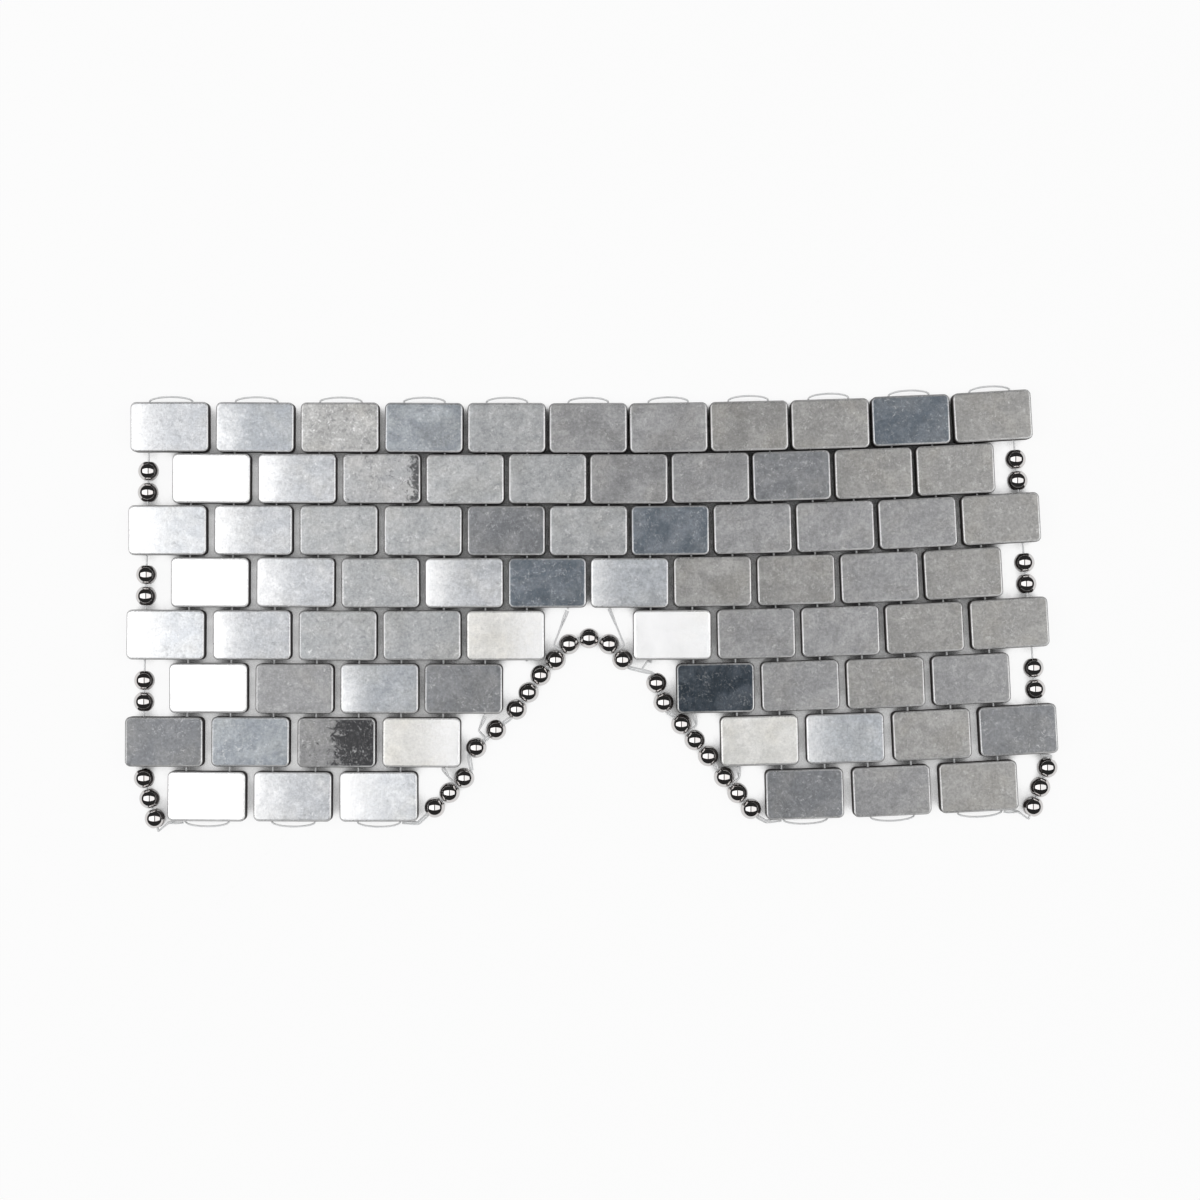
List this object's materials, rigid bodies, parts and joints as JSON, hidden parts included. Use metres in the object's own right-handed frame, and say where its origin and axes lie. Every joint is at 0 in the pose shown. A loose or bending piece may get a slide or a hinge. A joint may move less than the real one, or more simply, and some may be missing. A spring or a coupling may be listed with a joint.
{
  "type": "metal eye mask",
  "caption": "Flexible eye mask of satin metal tiles strung in a brick pattern on clear thread, with a nose notch edged in round beads.",
  "frame": {"origin": "middle of the underside of the centre tile in the third row", "axes": "+Z out of the face of the mat, away from the wearer; +X along the rows, to the right seen from outside; +Y up towards the forehead"},
  "size_m": [0.2006, 0.0963, 0.0044],
  "materials": {
    "tile": "satin, finely scratched, with rounded bright edges",
    "bead": "dark mirror polish",
    "thread": "clear nylon line"
  },
  "bodies": {
    "column_01": {"tile_column_01": "tile", "thread_01": "thread", "edge_beads_left_top": "bead", "edge_beads_left_middle": "bead", "edge_beads_left_bottom": "bead", "corner_beads_left": "bead"},
    "column_02": {"tile_column_02": "tile", "bottom_loop_02": "thread"},
    "column_03": {"tile_column_03": "tile", "thread_03": "thread"},
    "column_04": {"tile_column_04": "tile", "bottom_loop_04": "thread"},
    "column_05": {"tile_column_05": "tile", "thread_05": "thread"},
    "column_06": {"tile_column_06": "tile", "bottom_loop_06": "thread"},
    "column_07": {"tile_column_07": "tile", "thread_07": "thread", "nose_beads_left_lower": "bead"},
    "column_08": {"tile_column_08": "tile", "nose_beads_left_middle": "bead", "nose_string_left": "thread"},
    "column_09": {"tile_column_09": "tile", "thread_09": "thread", "nose_beads_left_upper": "bead"},
    "column_10": {"tile_column_10": "tile"},
    "column_11": {"tile_column_11": "tile", "thread_11": "thread", "bridge_beads": "bead"},
    "column_12": {"tile_column_12": "tile"},
    "column_13": {"tile_column_13": "tile", "thread_13": "thread", "nose_beads_right_upper": "bead"},
    "column_14": {"tile_column_14": "tile", "nose_beads_right_middle": "bead", "nose_string_right": "thread"},
    "column_15": {"tile_column_15": "tile", "thread_15": "thread", "nose_beads_right_lower": "bead"},
    "column_16": {"tile_column_16": "tile", "bottom_loop_16": "thread"},
    "column_17": {"tile_column_17": "tile", "thread_17": "thread"},
    "column_18": {"tile_column_18": "tile", "bottom_loop_18": "thread"},
    "column_19": {"tile_column_19": "tile", "thread_19": "thread"},
    "column_20": {"tile_column_20": "tile", "bottom_loop_20": "thread"},
    "column_21": {"tile_column_21": "tile", "thread_21": "thread", "edge_beads_right_top": "bead", "edge_beads_right_middle": "bead", "edge_beads_right_bottom": "bead", "corner_beads_right": "bead"}
  },
  "joints": [
    {"name": "fold_12", "type": "hinge", "parent": "column_11", "child": "column_12", "pos_m": [0.0044, 0.00001, 0.0019], "axis": [-0.0041, 1, 0], "range_deg": [-12, 12]},
    {"name": "fold_13", "type": "hinge", "parent": "column_12", "child": "column_13", "pos_m": [0.0132, 0.00006, 0.0019], "axis": [-0.0122, 0.9999, 0], "range_deg": [-12, 12]},
    {"name": "fold_14", "type": "hinge", "parent": "column_13", "child": "column_14", "pos_m": [0.02202, 0.00016, 0.0019], "axis": [-0.0204, 0.9998, 0], "range_deg": [-12, 12]},
    {"name": "fold_15", "type": "hinge", "parent": "column_14", "child": "column_15", "pos_m": [0.03085, 0.00031, 0.0019], "axis": [-0.0285, 0.9996, 0], "range_deg": [-12, 12]},
    {"name": "fold_16", "type": "hinge", "parent": "column_15", "child": "column_16", "pos_m": [0.0397, 0.00051, 0.0019], "axis": [-0.0366, 0.9993, 0], "range_deg": [-12, 12]},
    {"name": "fold_17", "type": "hinge", "parent": "column_16", "child": "column_17", "pos_m": [0.04856, 0.00076, 0.0019], "axis": [-0.0448, 0.999, 0], "range_deg": [-12, 12]},
    {"name": "fold_18", "type": "hinge", "parent": "column_17", "child": "column_18", "pos_m": [0.05743, 0.00106, 0.0019], "axis": [-0.0529, 0.9986, 0], "range_deg": [-12, 12]},
    {"name": "fold_19", "type": "hinge", "parent": "column_18", "child": "column_19", "pos_m": [0.06632, 0.00141, 0.0019], "axis": [-0.061, 0.9981, 0], "range_deg": [-12, 12]},
    {"name": "fold_20", "type": "hinge", "parent": "column_19", "child": "column_20", "pos_m": [0.07522, 0.00181, 0.0019], "axis": [-0.0692, 0.9976, 0], "range_deg": [-12, 12]},
    {"name": "fold_21", "type": "hinge", "parent": "column_20", "child": "column_21", "pos_m": [0.08414, 0.00226, 0.0019], "axis": [-0.0773, 0.997, 0], "range_deg": [-12, 12]},
    {"name": "fold_11", "type": "hinge", "parent": "column_11", "child": "column_10", "pos_m": [-0.0044, 0, 0.0019], "axis": [-0.0009, -1, 0], "range_deg": [-12, 12]},
    {"name": "fold_10", "type": "hinge", "parent": "column_10", "child": "column_09", "pos_m": [-0.01324, 0, 0.0019], "axis": [-0.0027, -1, 0], "range_deg": [-12, 12]},
    {"name": "fold_09", "type": "hinge", "parent": "column_09", "child": "column_08", "pos_m": [-0.02213, 0.00001, 0.0019], "axis": [-0.0046, -1, 0], "range_deg": [-12, 12]},
    {"name": "fold_08", "type": "hinge", "parent": "column_08", "child": "column_07", "pos_m": [-0.03107, 0.00002, 0.0019], "axis": [-0.0064, -1, 0], "range_deg": [-12, 12]},
    {"name": "fold_07", "type": "hinge", "parent": "column_07", "child": "column_06", "pos_m": [-0.04006, 0.00003, 0.0019], "axis": [-0.0082, -1, 0], "range_deg": [-12, 12]},
    {"name": "fold_06", "type": "hinge", "parent": "column_06", "child": "column_05", "pos_m": [-0.0491, 0.00004, 0.0019], "axis": [-0.0101, -0.9999, 0], "range_deg": [-12, 12]},
    {"name": "fold_05", "type": "hinge", "parent": "column_05", "child": "column_04", "pos_m": [-0.05819, 0.00006, 0.0019], "axis": [-0.0119, -0.9999, 0], "range_deg": [-12, 12]},
    {"name": "fold_04", "type": "hinge", "parent": "column_04", "child": "column_03", "pos_m": [-0.06733, 0.00008, 0.0019], "axis": [-0.0137, -0.9999, 0], "range_deg": [-12, 12]},
    {"name": "fold_03", "type": "hinge", "parent": "column_03", "child": "column_02", "pos_m": [-0.07652, 0.00011, 0.0019], "axis": [-0.0155, -0.9999, 0], "range_deg": [-12, 12]},
    {"name": "fold_02", "type": "hinge", "parent": "column_02", "child": "column_01", "pos_m": [-0.08577, 0.00014, 0.0019], "axis": [-0.0174, -0.9998, 0], "range_deg": [-12, 12]}
  ]
}
